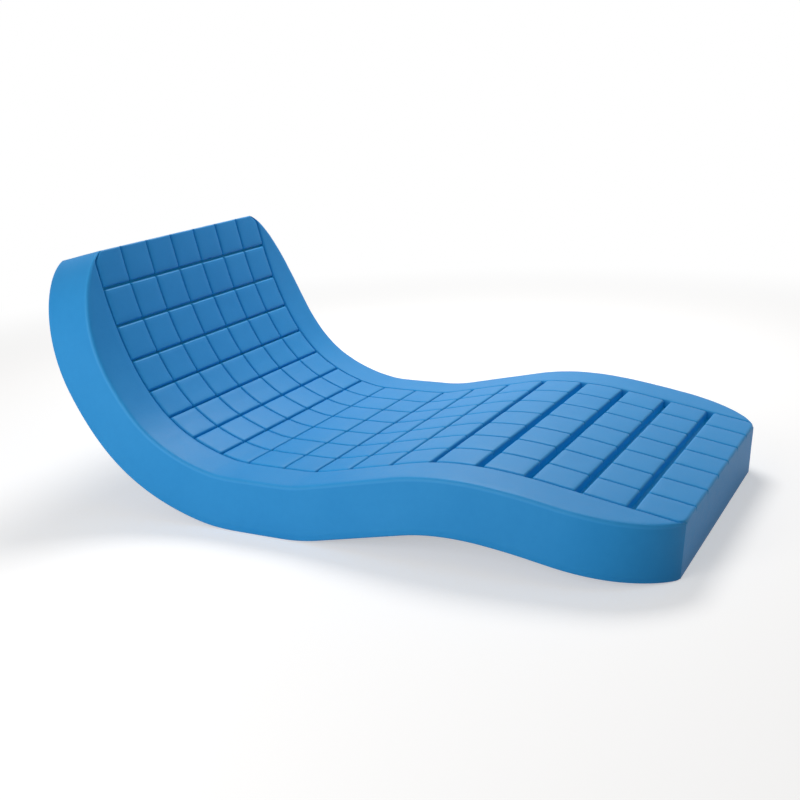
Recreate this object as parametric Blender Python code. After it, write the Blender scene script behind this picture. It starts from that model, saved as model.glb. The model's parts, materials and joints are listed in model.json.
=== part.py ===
"""Pressure relief foam mattress for a profiling bed, with the back and the knees raised.

Metres, +Z up. The head is at -X, the foot at +X, and Y runs across. Each row of blocks is made flat,
in a frame of its own, and a chain of empties on the groove hinges then bends the rows into shape.
"""

import math

import bmesh
import bpy
from mathutils import Matrix, Vector

# The whole mattress, lying flat.
WIDTH = 0.900
THICKNESS = 0.128
ROWS = 18
COLUMNS = 7
COLUMN_PITCH = 0.0985
BODY_ROW_PITCH = 0.107
LEG_ROW_PITCH = 0.1115
FIRST_LEG_ROW = 14
HEAD_TRIM = 0.008

# The grooves across the top, by zone, and the channels along it.
GROOVE_DEPTH = 0.030
BACK_GROOVE = 0.006
SEAT_GROOVE = 0.005
KNEE_GROOVE = 0.008
LEG_GROOVE = 0.016
CHANNEL_DEPTH = 0.012
CHANNEL_WIDTH = 0.005
RAIL_GROOVE = 0.006
CELL_BEVEL = 0.003

# The rails: their rounded edges, and the lengths over which they curve in at the ends.
CREST_RADIUS = 0.012
CREST_STEPS = 4
INNER_BEVEL = 0.004
BOTTOM_RADIUS = 0.006
BOTTOM_STEPS = 2
HEAD_TAPER = 0.364
FOOT_TAPER = 0.256
END_NARROWING = 0.096
TAPER_CUTS = 4

# Touching pieces keep this gap.
CLEARANCE = 0.0003

# How far each groove bends in the raised pose, in degrees. A positive bend closes the groove's top and
# turns about the underside. A negative one opens it and turns about the top.
BENDS = {1: 4, 2: 6, 3: 8, 4: 11, 5: 14, 6: 12, 7: 10, 8: 12, 10: 12, 13: -10, 14: -8, 15: -4}

# The sections between the bending grooves, from the seat outwards: name, rows, hinge groove, parent.
BACK_ROWS = range(8, 0, -1)
SECTIONS = [("seat", (9, 10), 9, None)]
SECTIONS += [(f"back_{row}", (row,), row, "seat" if row == 8 else f"back_{row + 1}") for row in BACK_ROWS]
SECTIONS += [
    ("thigh", (11, 12, 13), 10, "seat"),
    ("knee_1", (14,), 13, "thigh"),
    ("knee_2", (15,), 14, "knee_1"),
    ("foot", (16, 17, 18), 15, "knee_2"),
]

CORE_COLOUR = (0.030, 0.200, 0.560, 1.0)
CELL_COLOUR = (0.050, 0.250, 0.620, 1.0)
FOAM_ROUGHNESS = 0.55


def clear_scene():
    for old in list(bpy.data.objects):
        bpy.data.objects.remove(old, do_unlink=True)


def station(groove):
    """How far a groove is from the head end, along the flat mattress. Groove 0 is the head end."""
    if groove == 0:
        return 0.0
    body_rows = min(groove, FIRST_LEG_ROW - 1)
    leg_rows = groove - body_rows
    return body_rows * BODY_ROW_PITCH + leg_rows * LEG_ROW_PITCH - HEAD_TRIM


def hinge_height(groove):
    """The level that a groove turns about: the underside where its top closes, the top where it opens."""
    return THICKNESS if BENDS.get(groove, 0) < 0 else 0.0


def groove_width(groove):
    if groove in (0, ROWS):
        return 0.0
    if groove < 9:
        return BACK_GROOVE
    if groove < 13:
        return SEAT_GROOVE
    return KNEE_GROOVE if groove == 13 else LEG_GROOVE


def setback(groove, height, gap):
    """How far a row's side stands back from the groove's centre, mitred so that the bent rows meet."""
    if groove in (0, ROWS):
        return 0.0
    lean = math.tan(math.radians(abs(BENDS.get(groove, 0))) / 2)
    return abs(height - hinge_height(groove)) * lean + gap / 2


def half_width(distance):
    """Half the mattress's width at a distance from the head end: quarter ellipses at both ends."""
    from_foot = station(ROWS) - distance
    inset = 0.0
    for reach, taper in ((distance, HEAD_TAPER), (from_foot, FOOT_TAPER)):
        if reach < taper:
            share = 1 - max(reach, 0.0) / taper
            inset = END_NARROWING * (1 - math.sqrt(1 - share * share))
    return WIDTH / 2 - inset


def arc(centre, radius, start, end, steps):
    """Points on an arc, with the angles in degrees."""
    points = []
    for step in range(steps + 1):
        angle = math.radians(start + (end - start) * step / steps)
        points.append((centre[0] + radius * math.cos(angle), centre[1] + radius * math.sin(angle)))
    return points


def core_section():
    """Across the mattress: a slab with a rail at each side, and the pocket for the blocks between them."""
    wall = COLUMNS * COLUMN_PITCH / 2 + RAIL_GROOVE / 2
    floor = THICKNESS - GROOVE_DEPTH - CLEARANCE
    outer = WIDTH / 2
    right = arc((outer - BOTTOM_RADIUS, BOTTOM_RADIUS), BOTTOM_RADIUS, -90, 0, BOTTOM_STEPS)
    right += arc((outer - CREST_RADIUS, THICKNESS - CREST_RADIUS), CREST_RADIUS, 0, 90, CREST_STEPS)
    right += [(wall + INNER_BEVEL, THICKNESS), (wall, THICKNESS - INNER_BEVEL), (wall, floor)]
    left = [(-across, height) for across, height in reversed(right)]
    return right + left


def cells_section():
    """Across the strip of blocks: a flat underside, and the block tops with channels between them."""
    floor = THICKNESS - GROOVE_DEPTH
    side = COLUMNS * COLUMN_PITCH / 2 - RAIL_GROOVE / 2
    top = []
    for column in range(COLUMNS):
        left = -COLUMNS * COLUMN_PITCH / 2 + column * COLUMN_PITCH + CHANNEL_WIDTH / 2
        right = left + COLUMN_PITCH - CHANNEL_WIDTH
        left = max(left, -side)
        right = min(right, side)
        shoulder = THICKNESS - CELL_BEVEL
        top += [(left, shoulder), (left + CELL_BEVEL, THICKNESS)]
        top += [(right - CELL_BEVEL, THICKNESS), (right, shoulder)]
        if column < COLUMNS - 1:
            top += [(right, THICKNESS - CHANNEL_DEPTH)]
            top += [(right + CHANNEL_WIDTH, THICKNESS - CHANNEL_DEPTH)]
    return [(side, floor)] + list(reversed(top)) + [(-side, floor)]


def prism(section, length, cuts):
    """A section given as (across, height) points, extruded along X from 0 to length and cut across."""
    curve = bpy.data.curves.new("section", "CURVE")
    curve.dimensions = "2D"
    curve.fill_mode = "BOTH"
    curve.extrude = length / 2
    spline = curve.splines.new("POLY")
    spline.points.add(len(section) - 1)
    for point, (across, height) in zip(spline.points, section):
        point.co = (across, height, 0, 1)
    spline.use_cyclic_u = True
    holder = bpy.data.objects.new("section", curve)
    bpy.context.scene.collection.objects.link(holder)
    bpy.context.view_layer.update()
    mesh = bpy.data.meshes.new_from_object(holder.evaluated_get(bpy.context.evaluated_depsgraph_get()))
    bpy.data.objects.remove(holder)
    bpy.data.curves.remove(curve)

    form = bmesh.new()
    form.from_mesh(mesh)
    bpy.data.meshes.remove(mesh)
    bmesh.ops.remove_doubles(form, verts=form.verts, dist=0.00005)
    along_x = Matrix(((0, 0, 1, length / 2), (1, 0, 0, 0), (0, 1, 0, 0), (0, 0, 0, 1)))
    bmesh.ops.transform(form, matrix=along_x, verts=form.verts)
    for cut in cuts:
        everything = form.verts[:] + form.edges[:] + form.faces[:]
        bmesh.ops.bisect_plane(form, geom=everything, dist=1e-6, plane_co=(cut, 0, 0), plane_no=(1, 0, 0))
    bmesh.ops.recalc_face_normals(form, faces=form.faces)
    return form


def fit_between_grooves(point, row, gaps):
    """Moves a prism's point to its place along the flat mattress, between the row's two mitred sides."""
    share = point.x / (station(row) - station(row - 1))
    start = station(row - 1) + setback(row - 1, point.z, gaps[0])
    end = station(row) - setback(row, point.z, gaps[1])
    point.x = start + share * (end - start)


def core_form(row):
    """The base slab and both rails of one row."""
    length = station(row) - station(row - 1)
    tapered = station(row - 1) < HEAD_TAPER or station(row) > station(ROWS) - FOOT_TAPER
    cuts = [length * step / TAPER_CUTS for step in range(1, TAPER_CUTS)] if tapered else []
    form = prism(core_section(), length, cuts)
    wall = COLUMNS * COLUMN_PITCH / 2 + RAIL_GROOVE / 2
    for vertex in form.verts:
        point = vertex.co
        fit_between_grooves(point, row, (CLEARANCE, CLEARANCE))
        if abs(point.y) > wall + CLEARANCE:
            share = (abs(point.y) - wall) / (WIDTH / 2 - wall)
            point.y = math.copysign(wall + share * (half_width(point.x) - wall), point.y)
    return form


def cells_form(row):
    """The strip of blocks of one row, with its top edges bevelled towards the grooves."""
    length = station(row) - station(row - 1)
    form = prism(cells_section(), length, (CELL_BEVEL, length - CELL_BEVEL))
    for vertex in form.verts:
        point = vertex.co
        at_end = min(point.x, length - point.x) < CELL_BEVEL / 2
        if at_end and point.z > THICKNESS - CELL_BEVEL / 2:
            point.z = THICKNESS - CELL_BEVEL
        fit_between_grooves(point, row, (groove_width(row - 1), groove_width(row)))
    return form


def foam_material(name, colour):
    material = bpy.data.materials.new(name)
    material.use_nodes = True
    shader = material.node_tree.nodes["Principled BSDF"]
    shader.inputs["Base Color"].default_value = colour
    shader.inputs["Roughness"].default_value = FOAM_ROUGHNESS
    shader.inputs["Metallic"].default_value = 0.0
    return material


def add_piece(name, form, hinge, colour, parent, collection):
    """Makes a named object from a flat form, with its origin on the hinge that carries it."""
    bmesh.ops.translate(form, vec=-hinge, verts=form.verts)
    mesh = bpy.data.meshes.new(name)
    form.to_mesh(mesh)
    form.free()
    mesh.materials.append(foam_material(name + "_foam", colour))
    piece = bpy.data.objects.new(name, mesh)
    piece.parent = parent
    collection.objects.link(piece)
    return piece


def hinge_point(groove):
    """A groove's hinge, on the flat mattress."""
    return Vector((station(groove), 0, hinge_height(groove)))


def bend_angle(groove, parent_name):
    """The turn about Y at a hinge. Towards the head a closing groove turns up one way, towards the foot
    the other way."""
    if parent_name is None:
        return 0.0
    side = 1 if groove <= 8 else -1
    return side * math.radians(BENDS[groove])


def build_sections(collection):
    """One empty for each section, on its hinge, and the section's rows under it."""
    empties = {}
    hinges = {}
    for name, rows, groove, parent_name in SECTIONS:
        hinge = hinge_point(groove)
        empty = bpy.data.objects.new(name + "_hinge", None)
        collection.objects.link(empty)
        empty.rotation_euler = (0, bend_angle(groove, parent_name), 0)
        if parent_name is not None:
            empty.parent = empties[parent_name]
            empty.location = hinge - hinges[parent_name]
        empties[name] = empty
        hinges[name] = hinge
        for row in rows:
            add_piece(f"row_{row:02d}_core", core_form(row), hinge, CORE_COLOUR, empty, collection)
            add_piece(f"row_{row:02d}_cells", cells_form(row), hinge, CELL_COLOUR, empty, collection)
    return empties


def stand_on_origin(root, collection):
    """Puts the middle of the mattress's length over the origin, and its lowest point on the ground."""
    bpy.context.view_layer.update()
    corners = []
    for piece in collection.objects:
        if piece.type == "MESH":
            corners += [piece.matrix_world @ vertex.co for vertex in piece.data.vertices]
    lengthwise = [corner.x for corner in corners]
    root.location.x -= (min(lengthwise) + max(lengthwise)) / 2
    root.location.z -= min(corner.z for corner in corners)


clear_scene()
mattress = bpy.data.collections.new("pressure_relief_mattress")
bpy.context.scene.collection.children.link(mattress)
sections = build_sections(mattress)
stand_on_origin(sections["seat"], mattress)
bpy.context.view_layer.update()
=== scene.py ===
import json
import math

import bmesh
import bpy
import numpy as np
from mathutils import Matrix, Vector

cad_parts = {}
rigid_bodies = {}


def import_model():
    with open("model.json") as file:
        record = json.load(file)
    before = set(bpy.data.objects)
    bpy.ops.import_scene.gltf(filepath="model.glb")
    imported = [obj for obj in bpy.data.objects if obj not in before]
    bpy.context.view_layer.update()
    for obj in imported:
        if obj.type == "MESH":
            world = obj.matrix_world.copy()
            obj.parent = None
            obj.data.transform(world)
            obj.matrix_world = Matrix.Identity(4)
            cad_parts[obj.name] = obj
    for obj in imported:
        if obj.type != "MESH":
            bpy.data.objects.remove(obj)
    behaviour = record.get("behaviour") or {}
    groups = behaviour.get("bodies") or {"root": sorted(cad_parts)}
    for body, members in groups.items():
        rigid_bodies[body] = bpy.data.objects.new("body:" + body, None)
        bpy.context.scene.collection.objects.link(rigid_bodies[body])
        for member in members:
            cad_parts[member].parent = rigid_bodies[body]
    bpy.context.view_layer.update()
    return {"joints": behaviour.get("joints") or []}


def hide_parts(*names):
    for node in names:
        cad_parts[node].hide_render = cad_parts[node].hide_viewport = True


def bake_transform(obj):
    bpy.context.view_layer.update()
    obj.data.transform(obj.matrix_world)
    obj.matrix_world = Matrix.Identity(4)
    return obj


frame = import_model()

scene = bpy.context.scene


# ---------------------------------------------------------------------------------------------------
# The camera stands at the foot end, on the near side and a little above the raised back, and looks
# along the mattress towards the head. All of the S of the raised pose is in its frame.
CAMERA_PLACE = Vector((1.29341, -2.45036, 1.01868))
CAMERA_TURN = 28.2726
CAMERA_DROP = 16.2388
CAMERA_ROLL = -2.8533
CAMERA_LENS = 51.735
CAMERA_SENSOR = 36.0


def turned(degrees, axis):
    return Matrix.Rotation(math.radians(degrees), 4, axis)


camera = bpy.data.objects.new("camera", bpy.data.cameras.new("camera"))
scene.collection.objects.link(camera)
camera.data.lens = CAMERA_LENS
camera.data.sensor_width = CAMERA_SENSOR
camera.matrix_world = (Matrix.Translation(CAMERA_PLACE) @ turned(CAMERA_TURN, "Z")
                       @ turned(90 - CAMERA_DROP, "X") @ turned(CAMERA_ROLL, "Z"))
scene.camera = camera


# ---------------------------------------------------------------------------------------------------
# The back: eight rows of blocks that curl up with the bed's backrest. The whole mattress is one
# moulding of blue foam with a closed skin. It comes out of a flat mould, whose ribs press the grooves
# and the channels into its top, and it bends in those grooves.
WIDTH = 0.900
THICKNESS = 0.128
ROWS = 18
COLUMNS = 7
COLUMN_PITCH = 0.0985
BODY_PITCH = 0.107
LEG_PITCH = 0.1115
FIRST_LEG_ROW = 14
HEAD_TRIM = 0.008
LAST_BACK_GROOVE = 8
FIRST_KNEE_GROOVE = 13

CHANNEL_WIDTH = 0.0035
CHANNEL_DEPTH = 0.011
RAIL_GROOVE_WIDTH = 0.0045
RAIL_GROOVE_DEPTH = 0.013
EDGE_RADIUS = 0.005
WALL_DRAFT = 0.0007
BLOCK_CROWN = 0.0010
CROWN_LEVEL_MARGIN = 0.0002
PRESSED_FROM = 0.0001
RAIL_MARGIN = 0.25
UNEVENNESS = 0.0012
UNEVEN_SCALE = 22.0
UNEVEN_SEED = 4.0
UNDER_UNEVENNESS = 0.25
LINE_SPACING = 0.014

CREST_RADIUS = 0.008
HEAD_EDGE_RADIUS = 0.0035
FOOT_EDGE_RADIUS = 0.007
UNDER_RADIUS = 0.0035
HEAD_TAPER = 0.320
HEAD_NARROWING = 0.160
FOOT_TAPER = 0.230
FOOT_NARROWING = 0.155
END_CUT = 0.006
LEAST_RAIL = 0.004
CORNER_START = 0.300
SIDE_FLARE = 0.007
FOOT_FLARE = 0.012
FOOT_FLARE_LENGTH = 0.060
WALL_LINES = 8
TAPER_LINES = 10
HEAD_TAPER_STEPS = 24
FOOT_TAPER_STEPS = 20
TOP_SKIN = 0.98
ARC_STEPS = 4
SHARP_ANGLE = 40.0

BACK_GROOVE_WIDTH = 0.0065
BACK_GROOVE_DEPTH = 0.012
BACK_GROOVE_SHIFTS = {1: -0.005, 2: -0.005, 3: -0.005, 4: -0.007, 5: -0.003, 6: 0.003, 7: 0.004}

FOAM_DEEP = (0.008, 0.250, 0.620, 1.0)
FOAM_BLUE = (0.018, 0.298, 0.705, 1.0)
FOAM_PALE = (0.045, 0.380, 0.800, 1.0)
# Painted light: the walls and floors of the grooves and channels are painted a lighter blue than the open
# top, against the shade that falls in them.
FOAM_GROOVES_PAINTED_LIGHTER = (0.004, 0.460, 0.790, 1.0)
FOAM_ROUGHNESS = 0.52
FOAM_GLOSS = 0.25
FOAM_SHEEN = 0.02
CLOUD_SCALE = 7.0
CLOUD_SHARE = 0.9
MOTTLE_SCALE = 60.0
MOTTLE_SHARE = 0.5
GRAIN_SCALE = 1400.0
GRAIN_SHARE = 0.35
RIPPLE_SCALE = 170.0
PLAIN_BLUE_SHARE = 0.62
# How far the rounded edges of the blocks and the crest are painted towards the pale blue: a painted
# highlight.
EDGE_PAINTED_HIGHLIGHT = 0.5
ROUGHNESS_SPREAD = 0.14
BUMP_STRENGTH = 0.5
BUMP_HEIGHT = 0.0006


def station(groove):
    """How far a groove is from the head end of the flat moulding. It may be a fraction of a row."""
    if groove <= 0:
        return 0.0
    body = min(groove, FIRST_LEG_ROW - 1)
    return body * BODY_PITCH + (groove - body) * LEG_PITCH - HEAD_TRIM


LENGTH = station(ROWS)


def end_share(along):
    """How far into the curve of the nearer end a place is, from 0 to 1, with that curve's two sizes."""
    head = np.clip(1 - (along + END_CUT) / HEAD_TAPER, 0, 1)
    foot = np.clip(1 - (LENGTH - along + END_CUT) / FOOT_TAPER, 0, 1)
    at_head = along < LENGTH / 2
    return (np.maximum(head, foot), np.where(at_head, HEAD_TAPER, FOOT_TAPER),
            np.where(at_head, HEAD_NARROWING, FOOT_NARROWING))


def half_width(along):
    """Half the moulding's width: straight sides, and nearly a quarter ellipse at each end, cut square."""
    share, _, narrowing = end_share(along)
    return WIDTH / 2 - narrowing * (1 - np.sqrt(1 - share * share))


def edge_drop(along, across, side_radius, end_radius):
    """How far a face has dropped towards its rounded edge, and how far round that edge it has turned."""
    share, reach, narrowing = end_share(along)
    side = np.clip((np.abs(across) - (WIDTH / 2 - narrowing)) / narrowing, 0, None)
    out = np.maximum(np.hypot(share, side), 1e-6)
    slope_along = share / out / reach
    slope_across = side / out / narrowing
    steepness = np.maximum(np.hypot(slope_along, slope_across), 1e-6)
    inside = np.maximum((1 - out) / steepness, 0)
    radius = side_radius + (end_radius - side_radius) * (slope_along / steepness) ** 2
    by_side = np.clip(1 - inside / radius, 0, 1)
    by_end = np.clip(1 - min(along, LENGTH - along) / end_radius, 0, 1)
    shared = (radius * by_side + end_radius * by_end) / np.maximum(by_side + by_end, 1e-6)
    turned_in = np.minimum(np.hypot(by_side, by_end), 1)
    return shared * (1 - np.sqrt(1 - turned_in * turned_in)), turned_in


def arc_offsets(radius):
    """Offsets from an edge whose rounding they follow in even turns."""
    return [radius * (1 - math.sin(math.radians(90 * step / ARC_STEPS))) for step in range(ARC_STEPS + 1)]


def groove_lines(centre, width):
    """The lines that a groove needs in the mesh: its floor, its two walls and their rounded edges."""
    offsets = [width / 2 - WALL_DRAFT]
    offsets += [width / 2 + offset for offset in arc_offsets(EDGE_RADIUS)]
    return [centre] + [centre + sign * offset for offset in offsets for sign in (-1, 1)]


def filled(lines, spacing):
    """Sorts the lines, and adds evenly spaced ones wherever two are further apart than the spacing."""
    lines = sorted(lines)
    full = [lines[0]]
    for line in lines[1:]:
        gap = line - full[-1]
        if gap < 1e-6:
            continue
        count = max(1, math.ceil(gap / spacing))
        full += [full[-1] + gap * (step + 1) / count for step in range(count)]
    return full


def lines_along(start, end, grooves, width, shift):
    """The mesh's lines across the moulding, from start to end, at their distances from the head."""
    lines = [start, end]
    for groove in grooves:
        lines += groove_lines(station(groove) + shift, width)
    if start == 0:
        lines += arc_offsets(HEAD_EDGE_RADIUS)
        lines += [HEAD_TAPER * (step / HEAD_TAPER_STEPS) ** 2 for step in range(TAPER_LINES)]
    if end == LENGTH:
        lines += [LENGTH - offset for offset in arc_offsets(FOOT_EDGE_RADIUS)]
        lines += [LENGTH - FOOT_TAPER * (step / FOOT_TAPER_STEPS) ** 2 for step in range(TAPER_LINES)]
    return np.array(filled([line for line in lines if start <= line <= end], LINE_SPACING))


FIELD_HALF = COLUMNS * COLUMN_PITCH / 2 + RAIL_GROOVE_WIDTH / 2 + EDGE_RADIUS


def lines_across(along):
    """The mesh's lines along the moulding, at one distance from the head: where they lie, and where they
    would if the corners weren't rounded. The rails take up the taper, down to nothing at the ends.
    """
    field = []
    for channel in range(COLUMNS + 1):
        width = RAIL_GROOVE_WIDTH if channel in (0, COLUMNS) else CHANNEL_WIDTH
        field += groove_lines((channel - COLUMNS / 2) * COLUMN_PITCH, width)
    field = filled(field, LINE_SPACING)
    full_rail = WIDTH / 2 - FIELD_HALF
    rail = [full_rail - offset for offset in arc_offsets(CREST_RADIUS)]
    shares = [line / full_rail for line in filled([0] + rail, LINE_SPACING)[1:]]
    half = half_width(along)
    plan_half = max(half, FIELD_HALF + LEAST_RAIL)
    right = [FIELD_HALF + share * (plan_half - FIELD_HALF) for share in shares]
    plan = np.array([-line for line in reversed(right)] + field + right)
    beyond = np.clip(np.abs(plan) - CORNER_START, 0, None)
    drawn_in = beyond * (plan_half - half) / (plan_half - CORNER_START)
    return plan - np.sign(plan) * drawn_in, plan


def moulded_slab(name, start, end, grooves, width, shift):
    """The plain slab under one stretch of the top: a closed mesh with every line that its grooves need.

    Its points know the level of the top over them, how much of a change of that level they share in, how
    far the face they are on leans, and where they would lie if the moulding's corners weren't rounded.
    """
    stations = lines_along(start, end, grooves, width, shift)
    shares = np.append(np.linspace(0, TOP_SKIN, WALL_LINES + 1), 1.0)
    rows = []
    for along in stations:
        across, plan = lines_across(along)
        end_radius = HEAD_EDGE_RADIUS if along < LENGTH / 2 else FOOT_EDGE_RADIUS
        drop, crest = edge_drop(along, across, CREST_RADIUS, end_radius)
        top = THICKNESS - drop
        under, _ = edge_drop(along, across, UNDER_RADIUS, UNDER_RADIUS)
        lowness = 1 - shares[:, None]
        level = under + shares[:, None] * (top - under)
        near_foot = np.clip(1 - (LENGTH - along) / FOOT_FLARE_LENGTH, 0, 1) ** 2
        flared_along = along + FOOT_FLARE * near_foot * lowness
        flared_across = across * (1 + SIDE_FLARE / (WIDTH / 2) * lowness)
        lean = -FOOT_FLARE * near_foot / THICKNESS
        columns = (flared_along, flared_across, level, shares[:, None], top, plan, crest, lean)
        rows.append(np.stack([np.broadcast_to(column, level.shape) for column in columns], axis=-1))
    grid = np.stack(rows)
    count_along, count_up, count_across = grid.shape[:3]

    numbers = np.full(grid.shape[:3], -1)
    shell = np.zeros(grid.shape[:3], bool)
    shell[0], shell[-1] = True, True
    shell[:, 0], shell[:, -1] = True, True
    shell[:, :, 0], shell[:, :, -1] = True, True
    numbers[shell] = np.arange(shell.sum())
    points = grid[shell]
    sheets = [numbers[0], numbers[-1], numbers[:, 0], numbers[:, -1], numbers[:, :, 0], numbers[:, :, -1]]
    faces = []
    for sheet in sheets:
        corners = np.stack([sheet[:-1, :-1], sheet[1:, :-1], sheet[1:, 1:], sheet[:-1, 1:]], axis=-1)
        faces += corners.reshape(-1, 4).tolist()

    mesh = bpy.data.meshes.new(name)
    mesh.from_pydata(points[:, :3].tolist(), [], faces)
    for label, column in (("share", 3), ("level", 4), ("plan", 5), ("crest", 6), ("lean", 7)):
        attribute = mesh.attributes.new(label, "FLOAT", "POINT")
        attribute.data.foreach_set("value", points[:, column].astype(np.float32))
    form = bmesh.new()
    form.from_mesh(mesh)
    bmesh.ops.recalc_face_normals(form, faces=form.faces)
    form.to_mesh(mesh)
    form.free()
    piece = bpy.data.objects.new(name, mesh)
    scene.collection.objects.link(piece)
    return piece


class Wire:
    """A node's output that can stand in a sum: each operator adds the Math node that it means."""

    def __init__(self, bench, socket):
        self.bench = bench
        self.socket = socket

    def maths(self, operation, *values):
        return self.bench.node("ShaderNodeMath", {"operation": operation}, dict(enumerate(values)))

    def __add__(self, other):
        return self.maths("ADD", self, other)

    def __radd__(self, other):
        return self.maths("ADD", other, self)

    def __sub__(self, other):
        return self.maths("SUBTRACT", self, other)

    def __rsub__(self, other):
        return self.maths("SUBTRACT", other, self)

    def __mul__(self, other):
        return self.maths("MULTIPLY", self, other)

    def __rmul__(self, other):
        return self.maths("MULTIPLY", other, self)

    def __truediv__(self, other):
        return self.maths("DIVIDE", self, other)

    def __rtruediv__(self, other):
        return self.maths("DIVIDE", other, self)

    def __abs__(self):
        return self.maths("ABSOLUTE", self)

    def at_least(self, other):
        return self.maths("MAXIMUM", self, other)

    def at_most(self, other):
        return self.maths("MINIMUM", self, other)

    def between(self, low, high):
        return self.at_least(low).at_most(high)

    def below(self, other):
        return self.maths("LESS_THAN", self, other)

    def root(self):
        return self.maths("SQRT", self)

    def sine(self):
        return self.maths("SINE", self)

    def whole(self):
        return self.maths("ROUND", self)


class Bench:
    """A node tree under construction. Every node of it is made by one method."""

    def __init__(self, tree):
        self.tree = tree

    def node(self, kind, settings=None, sockets=None, output=0):
        """Adds a node, sets it up, then fills its sockets with values or wires."""
        node = self.tree.nodes.new(kind)
        for name, value in (settings or {}).items():
            setattr(node, name, value)
        for name, value in (sockets or {}).items():
            if isinstance(value, Wire):
                self.tree.links.new(value.socket, node.inputs[name])
            else:
                node.inputs[name].default_value = value
        return Wire(self, node.outputs[output]) if len(node.outputs) else node


def pressing_tree():
    """The mould's ribs: they press grooves across a slab and channels along it, and round their edges."""
    tree = bpy.data.node_groups.new("pressed_blocks", "GeometryNodeTree")
    face = tree.interface
    face.new_socket("Geometry", in_out="OUTPUT", socket_type="NodeSocketGeometry")
    face.new_socket("Geometry", in_out="INPUT", socket_type="NodeSocketGeometry")
    for label in ("First Groove", "Row Pitch", "Last Number", "Groove Width", "Groove Depth",
                  "Column Pitch", "Half Columns", "Channel Width", "Channel Depth", "Rail Groove Width",
                  "Rail Groove Depth", "Edge Radius", "Wall Draft", "Crown", "Thickness",
                  "Top Skin", "Unevenness", "Uneven Scale", "Seed"):
        face.new_socket(label, in_out="INPUT", socket_type="NodeSocketFloat")
    face.new_socket("Foam", in_out="INPUT", socket_type="NodeSocketMaterial")
    bench = Bench(tree)
    inputs = tree.nodes.new("NodeGroupInput")

    def given(label):
        return Wire(bench, inputs.outputs[label])

    def stored(label):
        return bench.node("GeometryNodeInputNamedAttribute", {"data_type": "FLOAT"}, {"Name": label})

    def keep(geometry, label, value, kind="FLOAT"):
        settings = {"data_type": kind, "domain": "POINT"}
        return bench.node("GeometryNodeStoreNamedAttribute", settings,
                          {"Geometry": geometry, "Name": label, "Value": value})

    place = bench.node("GeometryNodeInputPosition")
    parts = bench.node("ShaderNodeSeparateXYZ", None, {0: place})
    along = parts
    across = stored("plan")
    share = stored("share")
    level = stored("level")
    radius = given("Edge Radius")
    draft = given("Wall Draft")

    row = ((along - given("First Groove")) / given("Row Pitch")).whole().between(0, given("Last Number"))
    from_groove = abs(along - given("First Groove") - row * given("Row Pitch"))
    half = given("Half Columns")
    column = (across / given("Column Pitch") + half).whole().between(0, half * 2)
    from_channel = abs(across - (column - half) * given("Column Pitch"))
    is_rail = (half - RAIL_MARGIN).below(abs(column - half))
    channel_half = (given("Channel Width") * (1 - is_rail) + given("Rail Groove Width") * is_rail) / 2
    channel_depth = given("Channel Depth") * (1 - is_rail) + given("Rail Groove Depth") * is_rail
    groove_half = given("Groove Width") / 2
    field = half * given("Column Pitch") + given("Rail Groove Width") / 2
    in_field = abs(across).below(field - draft / 2)

    edge_along = (groove_half + radius - from_groove).between(0, radius) * in_field
    edge_across = (channel_half + radius - from_channel).between(0, radius)
    edge = (edge_along * edge_along + edge_across * edge_across).root().at_most(radius)
    rounding = radius - (radius * radius - edge * edge).at_least(0).root()
    groove_wall = ((groove_half - from_groove) / draft).between(0, 1) * in_field * given("Groove Depth")
    channel_wall = ((channel_half - from_channel) / draft).between(0, 1) * channel_depth
    drop = rounding.at_least(groove_wall).at_least(channel_wall)

    turn_along = (along - given("First Groove")) / given("Row Pitch") * math.pi
    turn_across = (across / given("Column Pitch") + half) * math.pi
    crown = abs(turn_along.sine() * turn_across.sine()) * given("Crown") * abs(across).below(field)
    pressed = level.at_most(given("Thickness") + crown - drop)
    swell = crown * (given("Thickness") - CROWN_LEVEL_MARGIN).below(level)
    change = share * (pressed + swell * drop.below(PRESSED_FROM) - level)

    seated = bench.node("ShaderNodeCombineXYZ", None, {"X": change * stored("lean"), "Z": change})
    noise = bench.node("ShaderNodeTexNoise", {"noise_dimensions": "4D"},
                       {"Vector": place, "W": given("Seed"), "Scale": given("Uneven Scale"), "Detail": 1.0},
                       output="Color")
    drift = bench.node("ShaderNodeVectorMath", {"operation": "SUBTRACT"}, {0: noise, 1: (0.5, 0.5, 0.5)})
    amount = given("Unevenness") * (UNDER_UNEVENNESS + (1 - UNDER_UNEVENNESS) * share)
    wander = bench.node("ShaderNodeVectorMath", {"operation": "SCALE"}, {0: drift, "Scale": amount})
    offset = bench.node("ShaderNodeVectorMath", {"operation": "ADD"}, {0: seated, 1: wander})

    skin = ((share - given("Top Skin")) / (1 - given("Top Skin"))).between(0, 1)
    # The 'edge' mark: how far round the rounded edges of the blocks and the crest a point of the top lies;
    # the foam gets a painted highlight there.
    geometry = keep(given("Geometry"), "edge", (edge / radius).at_least(stored("crest")) * skin)
    # The 'depth' mark: how far down a groove or channel a point of the top lies; the foam is painted lighter
    # there, as painted light.
    geometry = keep(geometry, "depth", (drop / given("Groove Depth")).between(0, 1) * skin)
    geometry = bench.node("GeometryNodeSetPosition", None, {"Geometry": geometry, "Offset": offset})
    geometry = keep(geometry, "flat_place", bench.node("GeometryNodeInputPosition"), "FLOAT_VECTOR")
    geometry = bench.node("GeometryNodeRealizeInstances", None, {"Geometry": geometry})
    geometry = bench.node("GeometryNodeSetMaterial", None, {"Geometry": geometry, "Material": given("Foam")})
    bench.node("NodeGroupOutput", None, {"Geometry": geometry})
    return tree


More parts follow.
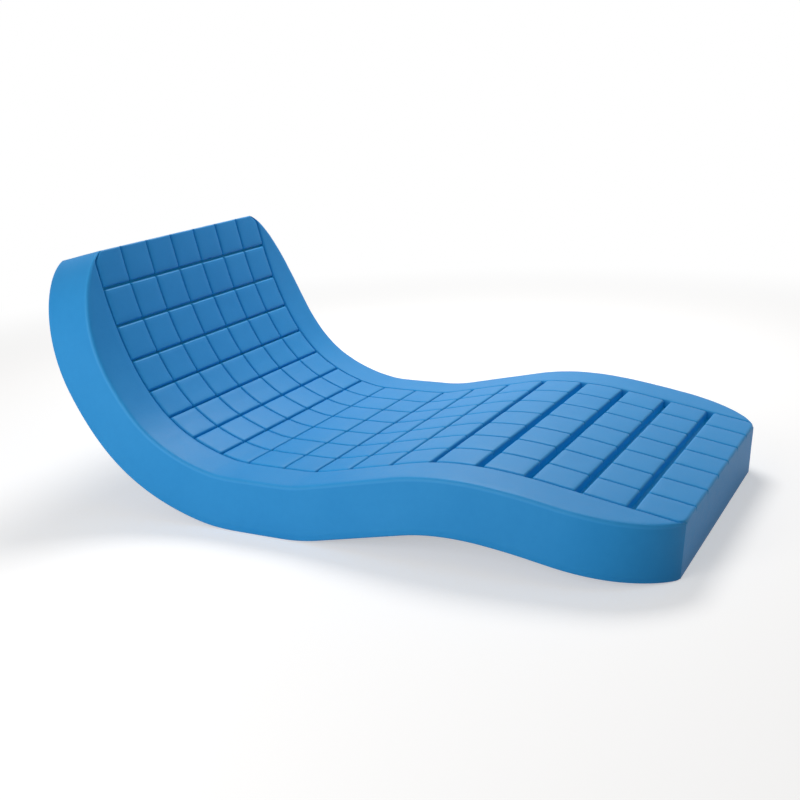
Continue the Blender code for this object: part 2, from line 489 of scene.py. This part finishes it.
def foam_skin():
    """Moulded blue foam: a matt closed skin, faintly clouded, finely grained, with painted highlights on its
    edges and painted light in its grooves.
    """
    material = bpy.data.materials.new("blue_foam_skin")
    material.use_nodes = True
    bench = Bench(material.node_tree)
    shader = material.node_tree.nodes["Principled BSDF"]
    place = bench.node("ShaderNodeAttribute", {"attribute_name": "flat_place"}, output="Vector")

    def noise(scale, detail, roughness=0.5):
        return bench.node("ShaderNodeTexNoise", None,
                          {"Vector": place, "Scale": scale, "Detail": detail, "Roughness": roughness})

    edge = bench.node("ShaderNodeAttribute", {"attribute_name": "edge"}, output="Fac")
    depth = bench.node("ShaderNodeAttribute", {"attribute_name": "depth"}, output="Fac")
    clouds = noise(CLOUD_SCALE, 3.0)
    mottle = noise(MOTTLE_SCALE, 3.0, 0.6)
    grain = noise(GRAIN_SCALE, 2.0)
    ripple = noise(RIPPLE_SCALE, 2.0)

    def blended(amount, first, second):
        node = bench.node("ShaderNodeMix", {"data_type": "RGBA"}, {"Factor": amount}).socket.node
        for socket, value in ((node.inputs[6], first), (node.inputs[7], second)):
            if isinstance(value, Wire):
                material.node_tree.links.new(value.socket, socket)
            else:
                socket.default_value = value
        return Wire(bench, node.outputs[2])

    tone = ((clouds - 0.5) * CLOUD_SHARE + (mottle - 0.5) * MOTTLE_SHARE + 0.5).between(0, 1)
    colour = blended(tone, FOAM_DEEP, FOAM_PALE)
    colour = blended(PLAIN_BLUE_SHARE, colour, FOAM_BLUE)
    # Painted highlight on the rounded block edges and the crest.
    colour = blended(edge * (1 - depth) * EDGE_PAINTED_HIGHLIGHT, colour, FOAM_PALE)
    # Painted light: the grooves and channels are painted lighter the deeper they go.
    colour = blended(depth, colour, FOAM_GROOVES_PAINTED_LIGHTER)
    rough = FOAM_ROUGHNESS + (mottle - 0.5) * ROUGHNESS_SPREAD
    height = grain * GRAIN_SHARE + ripple * (1 - GRAIN_SHARE)
    bump = bench.node("ShaderNodeBump", None,
                      {"Strength": BUMP_STRENGTH, "Distance": BUMP_HEIGHT, "Height": height}, output="Normal")
    links = material.node_tree.links
    links.new(colour.socket, shader.inputs["Base Color"])
    links.new(rough.socket, shader.inputs["Roughness"])
    links.new(bump.socket, shader.inputs["Normal"])
    shader.inputs["Specular IOR Level"].default_value = FOAM_GLOSS
    shader.inputs["Sheen Weight"].default_value = FOAM_SHEEN
    return material


JOINTS = {joint["name"]: joint for joint in frame["joints"]}
FLAT_SHIFT = JOINTS["back_raise"]["pos_m"][0] - station(LAST_BACK_GROOVE)
BULGE_SHARE = 0.125
LIMIT_BELOW = 0.001
LIMIT_ABOVE = 0.003


def turn_about(joint, degrees):
    """The turn of a joint, about its place in the raised pose."""
    pivot = Matrix.Translation(joint["pos_m"])
    return pivot @ Matrix.Rotation(math.radians(degrees), 4, Vector(joint["axis"])) @ pivot.inverted()


def flattened(body):
    """Where a body goes, from the raised pose, when every joint lies at its flat limit."""
    for joint in frame["joints"]:
        if joint["child"] == body:
            return flattened(joint["parent"]) @ turn_about(joint, joint["range_deg"][0])
    return Matrix.Identity(4)


def bulge(middle):
    """How far the underside of the raised back stands out at the middle of a row, past its hinges."""
    if middle > LAST_BACK_GROOVE:
        return 0.0
    joints = [JOINTS["back_raise" if groove == LAST_BACK_GROOVE else f"back_curl_{groove}"]
              for groove in (math.floor(middle), math.ceil(middle)) if groove > 0]
    return sum(math.radians(-joint["range_deg"][0]) * BODY_PITCH * BULGE_SHARE for joint in joints) / 2


class Fold:
    """How one groove's bend is spread over the half rows on both sides of it, in the raised pose."""

    def __init__(self, joint, groove):
        self.opens = groove >= FIRST_KNEE_GROOVE
        self.first, self.last = station(groove - 0.5), station(groove + 0.5)
        self.height = THICKNESS if self.opens else 0.0
        towards_head = joint["parent"] if groove > LAST_BACK_GROOVE else joint["child"]
        towards_foot = joint["child"] if groove > LAST_BACK_GROOVE else joint["parent"]
        self.head_side = flattened(towards_head).inverted()
        self.foot_side = flattened(towards_foot).inverted()
        self.start = self.raised_point(self.head_side, self.first, self.height - bulge(groove - 0.5))
        self.end = self.raised_point(self.foot_side, self.last, self.height - bulge(groove + 0.5))
        third = Vector(((self.last - self.first) / 3, 0, 0))
        self.leaving = self.start + np.array(self.head_side.to_3x3() @ third)
        self.arriving = self.end - np.array(self.foot_side.to_3x3() @ third)
        self.parent_first = groove > LAST_BACK_GROOVE

    def raised_point(self, side, along, height):
        return np.array(side @ Vector((along + FLAT_SHIFT, 0, height)))

    def limits(self):
        """The points where the bend starts and ends, on the face where they lie closest together."""
        height = -LIMIT_BELOW if self.opens else THICKNESS + LIMIT_ABOVE
        head = Vector(self.raised_point(self.head_side, self.first, height))
        foot = Vector(self.raised_point(self.foot_side, self.last, height))
        return (head, foot) if self.parent_first else (foot, head)

    def along_curve(self, flat):
        """The raised place of each flat point, on a slab that bends evenly from half row to half row."""
        share = (flat[:, 0] - FLAT_SHIFT - self.first) / (self.last - self.first)
        inner = np.clip(share, 0, 1)[:, None]
        outer = 1 - inner
        point = outer ** 3 * self.start + 3 * outer ** 2 * inner * self.leaving
        point += 3 * outer * inner ** 2 * self.arriving + inner ** 3 * self.end
        run = outer ** 2 * (self.leaving - self.start) + 2 * outer * inner * (self.arriving - self.leaving)
        run += inner ** 2 * (self.end - self.arriving)
        run /= np.linalg.norm(run, axis=1)[:, None]
        beyond = (share[:, None] - inner) * (self.last - self.first)
        rise = np.stack([-run[:, 2], np.zeros(len(run)), run[:, 0]], axis=1)
        raised = point + run * beyond + rise * (flat[:, 2:] - self.height)
        raised[:, 1] = flat[:, 1]
        return raised


def bend_to_pose(piece, fold):
    """Bends a flat piece into the raised pose."""
    places = np.empty(len(piece.data.vertices) * 3)
    piece.data.vertices.foreach_get("co", places)
    flat = places.reshape(-1, 3) + (FLAT_SHIFT, 0, 0)
    raised = fold.along_curve(flat)
    raised[:, 2] = np.maximum(raised[:, 2], 0)
    piece.data.vertices.foreach_set("co", raised.ravel())
    piece.data.update()


PRESSING = pressing_tree()
FOAM = foam_skin()


def moulded_span(name, joint_name, first_row, last_row, grooves, width, depth, nodes, shift=0.0):
    """Makes one span of the moulding, between the middles of two rows, and bends it about its joint into the
    raised pose.
    """
    joint = JOINTS[joint_name]
    slab = moulded_slab(name + "_slab", station(first_row), station(last_row), grooves, width, shift)
    press = slab.modifiers.new("pressing", "NODES")
    press.node_group = PRESSING
    pitch = LEG_PITCH if grooves[-1] >= FIRST_LEG_ROW else BODY_PITCH
    sizes = {
        "First Groove": station(grooves[0]) + shift, "Row Pitch": pitch, "Last Number": len(grooves) - 1.0,
        "Groove Width": width, "Groove Depth": depth, "Column Pitch": COLUMN_PITCH,
        "Half Columns": COLUMNS / 2, "Channel Width": CHANNEL_WIDTH, "Channel Depth": CHANNEL_DEPTH,
        "Rail Groove Width": RAIL_GROOVE_WIDTH, "Rail Groove Depth": RAIL_GROOVE_DEPTH,
        "Edge Radius": EDGE_RADIUS, "Wall Draft": WALL_DRAFT, "Crown": BLOCK_CROWN,
        "Thickness": THICKNESS, "Top Skin": TOP_SKIN, "Unevenness": UNEVENNESS, "Uneven Scale": UNEVEN_SCALE,
        "Seed": UNEVEN_SEED, "Foam": FOAM,
    }
    for item in PRESSING.interface.items_tree:
        if item.in_out == "INPUT" and item.name in sizes:
            press[item.identifier] = sizes[item.name]
    bpy.context.view_layer.update()
    mesh = bpy.data.meshes.new_from_object(slab.evaluated_get(bpy.context.evaluated_depsgraph_get()))
    bpy.data.objects.remove(slab)
    mesh.name = name
    for label in ("share", "level", "plan", "crest", "lean"):
        mesh.attributes.remove(mesh.attributes[label])
    piece = bpy.data.objects.new(name, mesh)
    scene.collection.objects.link(piece)
    fold = Fold(joint, grooves[0])
    bend_to_pose(piece, fold)
    mesh.shade_smooth()
    mesh.set_sharp_from_angle(angle=math.radians(SHARP_ANGLE))
    start, end = fold.limits()
    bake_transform(piece)
    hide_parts(*nodes)


def row_nodes(*rows):
    return [f"row_{row:02d}_{part}" for row in rows for part in ("core", "cells")]


for row, shift in BACK_GROOVE_SHIFTS.items():
    moulded_span(f"foam_back_{row}", f"back_curl_{row}", 0 if row == 1 else row - 0.5, row + 0.5, [row],
                 BACK_GROOVE_WIDTH, BACK_GROOVE_DEPTH, row_nodes(row), shift)


# ---------------------------------------------------------------------------------------------------
# The seat: the flat stretch that stays down when the back and the thighs rise. It is the same foam,
# and its grooves are no more than slits.
SEAT_GROOVE_WIDTH = 0.003
SEAT_GROOVE_DEPTH = 0.011
SEAT_GROOVE_SHIFT = 0.005

moulded_span("foam_seat", "back_raise", 7.5, 9.5, [8, 9], SEAT_GROOVE_WIDTH, SEAT_GROOVE_DEPTH,
             row_nodes(8, 9), SEAT_GROOVE_SHIFT)


# ---------------------------------------------------------------------------------------------------
# The thigh stretch rises from the seat to the knee in one flat slope of three rows. The grooves here
# stand a little further open.
THIGH_GROOVE_WIDTH = 0.0080
THIGH_GROOVE_DEPTH = 0.018

moulded_span("foam_thigh", "thigh_raise", 9.5, 12.5, [10, 11, 12], THIGH_GROOVE_WIDTH, THIGH_GROOVE_DEPTH,
             row_nodes(10, 11, 12))


# ---------------------------------------------------------------------------------------------------
# The knee: two grooves open over its crown, the first a narrow one and the second as wide as those of
# the legs, which let the moulding bend backwards.
KNEE_GROOVE_WIDTH = 0.014
KNEE_GROOVE_DEPTH = 0.022
LEG_GROOVE_WIDTH = 0.017
LEG_GROOVE_DEPTH = 0.022

moulded_span("foam_knee", "knee_bend", 12.5, 13.5, [13], KNEE_GROOVE_WIDTH, KNEE_GROOVE_DEPTH,
             row_nodes(13))
moulded_span("foam_calf", "knee_bend_14", 13.5, 14.5, [14], LEG_GROOVE_WIDTH, LEG_GROOVE_DEPTH,
             row_nodes(14))


# ---------------------------------------------------------------------------------------------------
# The foot: the last rows slope down, with wide grooves that take the load off the heels, and end in a
# plain face with a soft upper edge.
moulded_span("foam_foot", "knee_bend_15", 14.5, ROWS, [15, 16, 17], LEG_GROOVE_WIDTH, LEG_GROOVE_DEPTH,
             row_nodes(15, 16, 17, 18))


# ---------------------------------------------------------------------------------------------------
# The studio: a white floor that runs out of sight and keeps a soft shadow, and three large lamps.
# The main one hangs over the far side, and the others stand in front and low at the head.
FLOOR_SIZE = 30.0
FLOOR_LEVEL = -0.0005
FLOOR_PAINT = (0.60, 0.60, 0.60, 1.0)
FLOOR_SEEN_PAINT = (0.74, 0.73, 0.72, 1.0)
FLOOR_GLOW = 0.45
FLOOR_FADE = (1.9, 3.2)
LAMPS = [
    ("top_lamp", (-0.5, 1.5, 2.7), (0.0, 0.0, 0.15), 1.4, 57.0),
    ("front_lamp", (-0.5, -3.0, 1.3), (0.0, 0.0, 0.15), 2.0, 28.0),
    ("low_lamp", (-1.2, -2.7, 0.5), (0.0, 0.0, 0.15), 1.5, 15.0),
]
AMBIENT = 0.22


def seen_directly(bench):
    """1 for what the camera, a gloss or a clear material sees, and 0 for light that bounces."""
    path = bench.node("ShaderNodeLightPath")
    outputs = path.socket.node.outputs
    rays = [Wire(bench, outputs[label]) for label in
            ("Is Camera Ray", "Is Glossy Ray", "Is Transmission Ray")]
    return (rays[0] + rays[1] + rays[2]).at_most(1)


def white_floor():
    """Pale paint. Light bounces off it as off any paint, but the camera sees it lifted nearly to white where
    the lamps fully light it, with the shadows that are cast on it, and as plain white far away.
    """
    material = bpy.data.materials.new("white_floor")
    material.use_nodes = True
    bench = Bench(material.node_tree)
    material.node_tree.nodes.clear()
    place = bench.node("ShaderNodeTexCoord", output="Object")
    reach = bench.node("ShaderNodeVectorMath", {"operation": "LENGTH"}, {0: place}, output="Value")
    start, end = FLOOR_FADE
    share = ((reach - start) / (end - start)).between(0, 1)
    far = share * share * (3 - 2 * share)
    paint = bench.node("ShaderNodeBsdfDiffuse", None, {"Color": FLOOR_PAINT})
    seen = bench.node("ShaderNodeBsdfDiffuse", None, {"Color": FLOOR_SEEN_PAINT})
    glow = bench.node("ShaderNodeEmission", None, {"Strength": FLOOR_GLOW})
    white = bench.node("ShaderNodeEmission", None, {"Strength": 1.0})
    near = bench.node("ShaderNodeAddShader", None, {0: seen, 1: glow})
    bleached = bench.node("ShaderNodeMixShader", None, {0: far, 1: near, 2: white})
    mixed = bench.node("ShaderNodeMixShader", None, {0: seen_directly(bench), 1: paint, 2: bleached})
    bench.node("ShaderNodeOutputMaterial", None, {"Surface": mixed})
    return material


corner = FLOOR_SIZE / 2
floor_mesh = bpy.data.meshes.new("floor")
floor_mesh.from_pydata([(x, y, FLOOR_LEVEL) for x, y in
                        ((-corner, -corner), (corner, -corner), (corner, corner), (-corner, corner))],
                       [], [(0, 1, 2, 3)])
floor_mesh.materials.append(white_floor())
floor = bpy.data.objects.new("floor", floor_mesh)
scene.collection.objects.link(floor)

for name, place, target, size, power in LAMPS:
    lamp = bpy.data.lights.new(name, "AREA")
    lamp.shape = "DISK"
    lamp.size = size
    lamp.energy = power
    holder = bpy.data.objects.new(name, lamp)
    scene.collection.objects.link(holder)
    holder.location = place
    holder.rotation_euler = (Vector(target) - Vector(place)).to_track_quat("-Z", "Y").to_euler()

world = bpy.data.worlds.new("studio")
world.use_nodes = True
scene.world = world
bench = Bench(world.node_tree)
world.node_tree.nodes.clear()
direct = seen_directly(bench)
backdrop = bench.node("ShaderNodeBackground", None, {"Color": (1.0, 1.0, 1.0, 1.0),
                                                    "Strength": AMBIENT + (1.0 - AMBIENT) * direct})
bench.node("ShaderNodeOutputWorld", None, {"Surface": backdrop})

scene.view_settings.view_transform = "Standard"
